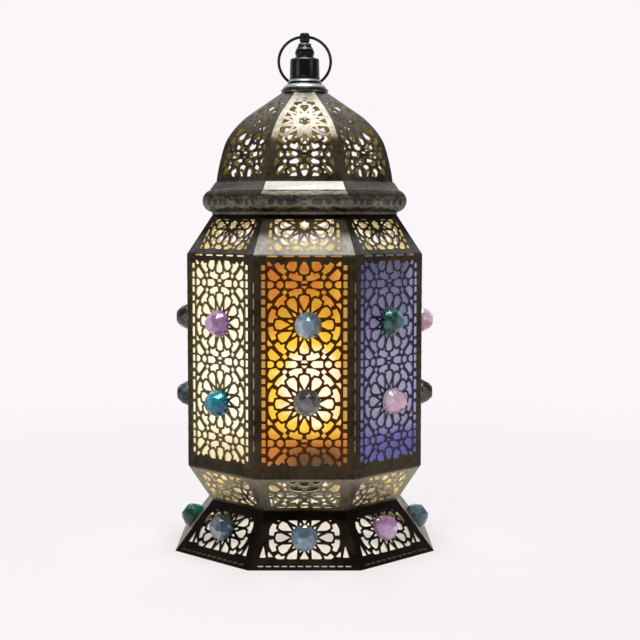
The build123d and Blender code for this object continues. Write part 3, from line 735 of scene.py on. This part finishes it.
# Radius, height, count of points and turn of each ring of a stone's corners
gem_tiers = (
    (10.0, 0.0, 24, 0.0), (10.0, 3.6, 24, 0.0), (8.3, 7.4, 8, 0.5), (6.9, 9.4, 8, 0.0), (4.5, 11.6, 8, 0.5),
)
# By a stone's number, three to a side: its way off the heart, the side painted as lit, and its darkness
gem_shifts = {
    0: (2.9, -0.3), 1: (1.9, 1.5), 2: (0.0, -1.2), 3: (-0.6, 0.5), 4: (2.7, -1.6), 6: (0.0, -2.9),
    7: (0.0, -2.4), 8: (0.0, -5.0), 19: (0.0, -3.6), 20: (0.0, -4.4), 21: (1.0, -0.9), 22: (-0.2, -3.0),
    23: (-2.2, 0.4),
}
gem_lit_sides = {0: 200, 1: 270, 2: 265, 3: 0, 4: 150, 5: 290, 8: 60, 20: 100, 21: 180, 22: 140, 23: 240}
gem_darkness = {1: -0.15, 2: 0.12, 7: 0.25, 8: 0.3, 18: 0.3, 19: 0.25, 20: 0.25, 23: -0.1}
gem_turn = 1.9


def stone():
    """One stone on the XY plane: rings of points at the tiers, closed over by their convex hull."""
    rings = []
    for radius, height, count, turn in gem_tiers:
        bpy.ops.object.select_all(action="DESELECT")
        bpy.ops.mesh.primitive_circle_add(vertices=count, radius=radius * mm, location=(0, 0, height * mm))
        rings.append(bpy.context.object)
        rings[-1].rotation_euler.z = radians(360 / count * turn)
        settle(rings[-1])
    piece = joined("stone", rings)
    bpy.ops.object.mode_set(mode="EDIT")
    bpy.ops.mesh.select_all(action="SELECT")
    bpy.ops.mesh.convex_hull()
    bpy.ops.mesh.select_all(action="SELECT")
    bpy.ops.mesh.dissolve_limited(angle_limit=radians(1))
    bpy.ops.object.mode_set(mode="OBJECT")
    return piece


def light_facets(gem, number):
    """Paint each facet of a stone with painted light: lighter towards a chosen lit side, with a little
    chance.
    """
    angle = radians(gem_lit_sides.get(number, 137 * number)) - gem_turn * number
    lit = Vector((cos(angle), sin(angle), -0.25))
    middle = 0.5 - gem_darkness.get(number, 0.0)
    contrast, scatter = 0.42, 0.3

    def tone(facet):
        chance = abs(sin(12.9898 * (facet.index + 1) + 78.233 * number) * 43758.5453) % 1
        return middle + contrast * facet.normal.dot(lit) + scatter * (chance - 0.5)

    mark_faces(gem, "facet", tone)


def gem_finish(name, tones, gloss):
    """Foiled acrylic with painted light on its facets, darker away from the side painted as lit, under a
    hard clear gloss.
    """
    material, start = new_tree(name)
    clouds = object_place(start).noise(150.0)
    tone = marked(start, "facet") + clouds * 0.7 - 0.35
    inputs = {
        "Base Color": tone.ramp((0.1, tones[0]), (0.5, tones[1]), (0.9, tones[2])),
        "Metallic": 0.15,
        "Roughness": 0.10,
        "Specular IOR Level": 0.5 * gloss,
        "Coat Weight": gloss,
        "Coat Roughness": 0.03,
    }
    finish_surface(start, inputs)
    return material


upper_gems = ("pale", "emerald", "rose", "lilac", "teal", "emerald", "smoke", "lilac")
lower_gems = ("smoke", "rose", "smoke", "sapphire", "pale", "rose", "sapphire", "teal")
skirt_gems = ("pale", "lilac", "pale", "teal", "rose", "smoke", "emerald", "sapphire")
gems = {colour: [] for colour in gem_colours}
for side in range(len(sides)):
    for row, colour, low, high, up in (
        (0, upper_gems[side], body_low, body_high, window_lift + repeat / 2),
        (1, lower_gems[side], body_low, body_high, window_lift - repeat / 2),
        (2, skirt_gems[side], base_edge, waist_edge, skirt_gem_up),
    ):
        gem = stone()
        number = 3 * side + row
        light_facets(gem, number)
        right, above = gem_shifts.get(number, (0.9 * sin(2.4 * number + 1.2), 0.8 * sin(1.7 * number)))
        gem.location = (right * mm, (up + above) * mm, 0)
        gem.rotation_euler.z = gem_turn * number
        settle(gem)
        lean(gem, low, high)
        gem.rotation_euler.z = side * side_turn
        settle(gem)
        gems[colour].append(gem)
for colour, stones in gems.items():
    group = joined(f"stones_{colour}", stones)
    finish = gem_finish(f"gem_{colour}", gem_colours[colour], 0.3 if colour in dull_gems else 0.8)
    dress(group, finish, f"gem_{colour}", f"gems_{colour}", smooth=1)

# Shoulder: pierced collar of the same sheet, folded inwards above the panels, with a lip that the
# cornice stands on.
neck_edge = Vector((71 * mm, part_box("shoulder")[1].z))
shoulder_window = [(-30.0, -13.0), (30.0, -13.0), (24.5, 13.6), (-24.5, 13.6)]
shoulder_foot = -(neck_edge - body_high).length / mm / 2
shoulder_slots = fold_slots((-row_end, shoulder_foot), (row_end, shoulder_foot))
shoulder_sides = wall(
    "shoulder_side", body_high, neck_edge, shoulder_window, [(0, 8.5)], shoulder_slots,
    kerf=0.15, scale=0.83, open_heart=True,
)
shoulder_lip = lip(neck_edge.x - lip_inset, 6 * mm, neck_edge.y)
shoulder = joined("shoulder_collar", shoulder_sides + [shoulder_lip])
dress(shoulder, case_metal, "case_metal", "shoulder")

# Cornice: hollow moulding pressed from sheet, with the fretwork laid over its round belly. Lips
# above and below are soldered to the dome and to the shoulder.
dome_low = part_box("cornice")[1].z


def arc(start, middle, end, steps):
    """Points after the start along the arc through three points."""
    a, b = middle - start, end - start
    towards = Vector((b.y, -b.x)) * a.length_squared - Vector((a.y, -a.x)) * b.length_squared
    centre = start + towards / (2 * a.cross(b))
    turn = (start - centre).angle_signed(end - centre)
    return [centre + Matrix.Rotation(-turn * k / steps, 2) @ (start - centre) for k in range(1, steps + 1)]


def bulged(start, end, bulge):
    """Middle of an arc between two points that stands out to the right of the way by a height."""
    chord = end - start
    return (start + end) / 2 + Vector((chord.y, -chord.x)).normalized() * bulge


def bend(piece, profile):
    """Press a flat sheet onto a profile of (half width, height) points, from its foot at y = 0."""
    steps = [(b - a).length for a, b in zip(profile, profile[1:])]
    lengths = [sum(steps[:k]) for k in range(len(profile))]
    outward = [Vector((b.y - a.y, a.x - b.x)).normalized() for a, b in zip(profile, profile[1:])]
    take_up(piece)
    bpy.ops.object.mode_set(mode="EDIT")
    for length in lengths[1:-1]:
        bpy.ops.mesh.select_all(action="SELECT")
        bpy.ops.mesh.bisect(plane_co=(0, length, 0), plane_no=(0, 1, 0))
    bpy.ops.object.mode_set(mode="OBJECT")
    for vertex in piece.data.vertices:
        x, s, depth = vertex.co
        k = max(i for i in range(len(steps)) if i == 0 or lengths[i] <= s + 1e-7)
        share = (s - lengths[k]) / steps[k]
        before = outward[k] + outward[max(k - 1, 0)]
        after = outward[k] + outward[min(k + 1, len(steps) - 1)]
        before, after = before / before.dot(outward[k]), after / after.dot(outward[k])
        place = profile[k].lerp(profile[k + 1], share) + before.lerp(after, share) * depth
        vertex.co = (x, -place.x, place.y)


def strip(profile):
    """Half widths of the sheet for one side along a profile, with some spare to mitre off."""
    steps = [(b - a).length for a, b in zip(profile, profile[1:])]
    return [(edge.x * half_corner + spare, sum(steps[:k])) for k, edge in enumerate(profile)]


def both_sides(right_edge):
    """Closed outline from its right edge, mirrored to the left."""
    return right_edge + [(-x, y) for x, y in right_edge[::-1]]


cornice_foot = Vector((71.5 * mm, neck_edge.y))
belly_low = cornice_foot + Vector((0, 1.9 * mm))
belly_nose = Vector((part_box("cornice")[1].y, neck_edge.y + 11.2 * mm))
belly_high = Vector((73.6 * mm, dome_low - 6.6 * mm))
cornice_head = Vector((69.0 * mm, dome_low))
belly = [belly_low, *arc(belly_low, belly_nose, belly_high, 14)]
cornice_profile = [cornice_foot, *belly, cornice_head]
cornice_side = cut_sheet("cornice_side", both_sides(strip(cornice_profile)), [])
bend(cornice_side, cornice_profile)
mitre(cornice_side, neck_edge.y, dome_low)
mark_faces(cornice_side, "recess", lambda face: 0.7 * (belly_low.y < face.center.z < belly_high.y))
cornice_inset = 0.4 * mm
cornice_lips = [
    lip(cornice_foot.x - cornice_inset, 6.5 * mm, neck_edge.y + sheet),
    lip(cornice_head.x - cornice_inset, 6 * mm, dome_low),
]
relief, ornament_thickness = 0.35 * mm, 0.5 * mm
belly_middle = belly_high.lerp(belly_low, 0.5)
raised = [point + (point - belly_middle).normalized() * relief for point in belly]
right_edge = strip(raised)
belly_length = right_edge[-1][1] / mm
belly_window = rectangle((0, belly_length / 2), 56, belly_length - 2)
belly_hearts = [(0, belly_length / 2 - repeat / 2), (0, belly_length / 2 + repeat / 2)]
belly_cells = fretwork(belly_window, belly_hearts)
ornament = cut_sheet("ornament", both_sides(right_edge), belly_cells, ornament_thickness)
bend(ornament, raised)
mitre(ornament, neck_edge.y, dome_low)
# The ornament's faces that turn upwards, on its upper slope and on its cell walls, are kept black too.
mark_faces(ornament, "recess", lambda face: 0.8 * (face.normal.z > 0.45))
moulding_pieces = round_the_case(cornice_side) + round_the_case(ornament) + cornice_lips
moulding = joined("cornice_moulding", moulding_pieces)
dress(moulding, case_metal, "case_metal", "cornice")

# Dome: eight pierced gores, cut flat, pressed to a curve and soldered along smooth ridges. There are
# no stones here, so the rosettes' hearts are cut open as stars.
dome_foot = Vector((68.2 * mm, dome_low))
knee_low = Vector((61.0 * mm, dome_low + 31.5 * mm))
knee_high = Vector((39.3 * mm, dome_low + 55.1 * mm))
crown_edge = Vector((17.0 * mm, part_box("gore_front")[1].z))
gore_wall = [dome_foot, *arc(dome_foot, bulged(dome_foot, knee_low, 0.8 * mm), knee_low, 4)]
gore_knee = [*arc(knee_low, bulged(knee_low, knee_high, 1.85 * mm), knee_high, 8), crown_edge]
crease_radius, crease_steps = 6 * mm, 4
crease_points = crease_steps + 1
creased = rounded([gore_wall[-2], knee_low, gore_knee[1]], crease_radius, crease_steps)
soft_crease = creased[crease_points:2 * crease_points]
gore_profile = gore_wall[:-1] + soft_crease + gore_knee[1:]
ridge, gore_margin, gore_heart = 4.6, 4.0, 50.2
right_edge = strip(gore_profile)
gore_length = right_edge[-1][1] / mm
gore_right = [
    (edge.x * half_corner / mm - ridge, min(max(s / mm, gore_margin), gore_length - gore_margin))
    for edge, (x, s) in zip(gore_profile, right_edge)
]
gore_window = [Vector(corner) for corner in both_sides(gore_right)]
gore_cells = fretwork(gore_window, [(0, gore_heart), (0, gore_heart - repeat)], open_heart=True)
gore = cut_sheet("gore", both_sides(right_edge), gore_cells)
bend(gore, gore_profile)
mitre(gore, dome_low, crown_edge.y)
for side, piece in zip(sides, round_the_case(gore)):
    piece.name = f"dome_gore_{side}"
    dress(piece, case_metal, "case_metal", f"gore_{side}")

# Crown plate and stud: a steel disc closes the dome, and a threaded stud through it draws the
# finial down with a washer and a nut.
dress_node(case_metal, "crown_plate")
dress_node(plated_steel, "finial_stud", "finial_washer", "finial_nut")

# Finial: flange, barrel and knob turned from steel and plated a glossy black, all on the stud. The
# flange has two raised bands, and the knob two beads under the flat-sided eye for the ring.
stud_hole = 3.2


def turned(name, corners, radius, level, steps=72):
    """A piece turned about the lantern's axis from a rounded outline of (radius, height) millimetres."""
    outline = rounded([Vector(corner) for corner in corners], radius)
    drawing = bpy.data.curves.new(name, "CURVE")
    drawing.dimensions = "3D"
    spline = drawing.splines.new("POLY")
    spline.points.add(len(outline) - 1)
    for point, (out, height) in zip(spline.points, outline):
        point.co = (out * mm, 0, level + height * mm, 1)
    spline.use_cyclic_u = True
    piece = bpy.data.objects.new(name, drawing)
    bpy.context.collection.objects.link(piece)
    take_up(piece)
    bpy.ops.object.convert(target="MESH")
    bpy.ops.object.mode_set(mode="EDIT")
    bpy.ops.mesh.select_all(action="SELECT")
    bpy.ops.mesh.spin(steps=steps, angle=2 * pi, center=(0, 0, 0), axis=(0, 0, 1))
    bpy.ops.object.mode_set(mode="OBJECT")
    weld(piece)
    return piece


# Painted highlights: bands of height painted lighter on the flange's two raised bands, the barrel's top
# edge, the knob's upper belly and its bead, each with its low and high edge and brightness.
finial_highlight_bands = (
    (0.3603, 0.3639, 0.40),
    (0.3653, 0.3675, 0.40),
    (0.3824, 0.3838, 0.10),
    (0.3906, 0.3924, 0.17),
    (0.3942, 0.3958, 0.17),
)
black_plate = plated("black_plate", (0.013, 0.013, 0.012), (0.030, 0.029, 0.028), 0.19, 60.0, finial_highlight_bands)
flange_corners = (
    (stud_hole, 0), (18.7, 0), (18.7, 1.4), (17.0, 1.9), (17.2, 2.4), (16.6, 3.6), (15.0, 5.0),
    (13.9, 5.3), (13.8, 5.9), (13.3, 7.3), (12.4, 8.6), (11.9, 8.9), (12.1, 9.4), (12.1, 10.1),
    (stud_hole, 10.1),
)
flange = turned("flange", flange_corners, 0.5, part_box("finial_flange")[0].z)
dress(flange, black_plate, "finial_metal", "finial_flange", smooth=50)

barrel_corners = (
    (9.9, 0), (11.9, 0), (11.9, 0.9), (11.6, 1.2), (11.75, 1.6), (11.45, 13.8), (11.3, 14.8),
    (10.2, 15.8), (stud_hole, 15.8), (stud_hole, 13.8), (9.4, 13.8),
)
barrel = turned("barrel", barrel_corners, 0.6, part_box("finial_barrel")[0].z)
dress(barrel, black_plate, "finial_metal", "finial_barrel", smooth=50)

knob_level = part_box("finial_knob")[0].z
knob_corners = (
    (stud_hole, 0), (7.7, 0), (7.7, 0.6), (7.0, 1.3), (7.0, 2.1), (7.6, 3.3), (7.7, 4.5), (7.3, 6.0),
    (6.3, 8.0), (5.5, 9.5), (5.0, 9.9), (5.3, 10.4), (5.2, 11.2), (4.2, 11.8), (3.2, 12.2), (3.3, 12.7),
    (4.0, 13.2), (4.0, 18.5), (2.9, 19.8), (0, 19.8), (0, 8.1), (stud_hole, 8.1),
)
knob = turned("knob", knob_corners, 0.35, knob_level)
eye_level, eye_radius = knob_level + 16.9 * mm, 1.8 * mm
bpy.ops.object.select_all(action="DESELECT")
bpy.ops.mesh.primitive_cylinder_add(vertices=32, radius=eye_radius, depth=20 * mm, rotation=(0, pi / 2, 0))
drill = bpy.context.object
drill.location.z = eye_level
settle(drill)
take_up(knob)
bore = knob.modifiers.new("bore", "BOOLEAN")
bore.object = drill
bore.operation = "DIFFERENCE"
bpy.ops.object.modifier_apply(modifier=bore.name)
bpy.data.objects.remove(drill)
dress(knob, black_plate, "finial_metal", "finial_knob", smooth=50)

# Hanging ring: black wire bent round through the eye, its two ends butted at the far side. At rest
# it leans on the back of the flange.
ring_lean, ring_radius, wire_radius = radians(25.75), 20.65 * mm, 1.15 * mm
butt_gap = radians(0.7)
bpy.ops.object.select_all(action="DESELECT")
bpy.ops.mesh.primitive_circle_add(
    vertices=20, radius=wire_radius, fill_type="NGON", location=(0, 0, -ring_radius), rotation=(0, pi / 2, 0)
)
ring = bpy.context.object
ring.name = "ring"
settle(ring)
bpy.ops.object.mode_set(mode="EDIT")
bpy.ops.mesh.select_all(action="SELECT")
bpy.ops.mesh.spin(steps=120, angle=2 * pi - butt_gap, center=(0, 0, 0), axis=(0, 1, 0))
bpy.ops.mesh.select_all(action="SELECT")
bpy.ops.mesh.remove_doubles(threshold=tolerance)
bpy.ops.mesh.fill_holes(sides=0)
bpy.ops.mesh.select_all(action="SELECT")
bpy.ops.mesh.normals_make_consistent(inside=False)
bpy.ops.object.mode_set(mode="OBJECT")
ring.location = (0, ring_radius * sin(ring_lean), eye_level - ring_radius * cos(ring_lean))
ring.rotation_euler.x = ring_lean
settle(ring)
ring_wire = plated("ring_wire", (0.020, 0.020, 0.020), (0.055, 0.053, 0.050), 0.20, 140.0)
dress(ring, ring_wire, "ring_wire", "hanging_ring", body="ring", smooth=50)

# Floor and light: a pale floor, one wide overhead softbox and a weak fill from each side. The room is
# grey, and behind the lantern is a pale backdrop.
bpy.ops.object.select_all(action="DESELECT")
bpy.ops.mesh.primitive_plane_add(size=30)
floor = bpy.context.object
floor.name = "floor"
pale = (0.965, 0.922, 0.939, 1)


def looks(start):
    """Whether a ray comes from the viewer, from a mirroring surface or through a clear one."""
    viewer, mirror, clear = 0, 3, 6
    return [start.node("ShaderNodeLightPath", output=kind) for kind in (viewer, mirror, clear)]


def greatest(first, *others):
    """The greatest of some values."""
    for other in others:
        first = first.math("MAXIMUM", first, other)
    return first


floor_paint, start = new_tree("floor_paint")
plain = start.node("ShaderNodeBsdfDiffuse", {}, {"Color": (0.8, 0.79, 0.79, 1)})
bright = start.node("ShaderNodeEmission", {}, {"Color": pale})
distance = start.node("ShaderNodeVectorMath", {"operation": "LENGTH"}, {0: object_place(start)}, 1)
open_floor = (distance.band(0.12, 0.9) * 0.35 + 0.65) * (distance.band(0.08, 0.105) * 0.3 + 0.7)
seen_floor = start.node("ShaderNodeMixShader", {}, {0: open_floor, 1: plain, 2: bright})
both = start.node("ShaderNodeMixShader", {}, {0: greatest(*looks(start)), 1: plain, 2: seen_floor})
start.node("ShaderNodeOutputMaterial", {}, {"Surface": both})
floor.data.materials.append(floor_paint)

world = bpy.data.worlds.new("room")
bpy.context.scene.world = world
world.use_nodes = True
world.node_tree.nodes.clear()
start = Socket(world.node_tree)
seen, mirrored, through = looks(start)
towards = start.node("ShaderNodeTexCoord")
behind = start.node("ShaderNodeSeparateXYZ", {}, {"Vector": towards}, 1).band(0.0, 0.9)
backdrop = start.node("ShaderNodeBackground", {}, {"Color": pale})
room = start.node("ShaderNodeBackground", {}, {"Color": (0.30, 0.30, 0.31, 1)})
shown = greatest(seen, through, mirrored * behind)
both = start.node("ShaderNodeMixShader", {}, {0: shown, 1: room, 2: backdrop})
start.node("ShaderNodeOutputWorld", {}, {"Surface": both})

for name, place, aim, width, depth, power in (
    ("softbox", (0, -0.03, 1.6), (0, -0.03, 0), 0.55, 1.42, 21.5),
    ("fill_left", (-1.3, -0.9, 0.6), (0, 0, 0.2), 0.5, 0.9, 4.5),
    ("fill_right", (1.3, -0.9, 0.6), (0, 0, 0.2), 0.5, 0.9, 2.5),
):
    bpy.ops.object.light_add(type="AREA", location=place)
    lamp = bpy.context.object
    lamp.name = name
    lamp.rotation_euler = (Vector(aim) - Vector(place)).to_track_quat("-Z", "Y").to_euler()
    lamp.data.shape = "RECTANGLE"
    lamp.data.size, lamp.data.size_y = width, depth
    lamp.data.energy = power

# Camera: a little above the shoulder, square to the front panel, as the photograph was taken. Its lens
# is given in widths of the picture.
look_down, sensor_width, lens_widths = radians(4.45), 36, 1350 / 640
bpy.ops.object.camera_add(location=(0.004, -1.077, 0.261), rotation=(pi / 2 - look_down, 0, 0))
camera = bpy.context.object
camera.data.sensor_width = sensor_width
camera.data.lens = sensor_width * lens_widths
camera.data.shift_x = 0.016
camera.data.clip_end = 100
bpy.context.scene.camera = camera
bpy.context.scene.view_settings.view_transform = "Standard"
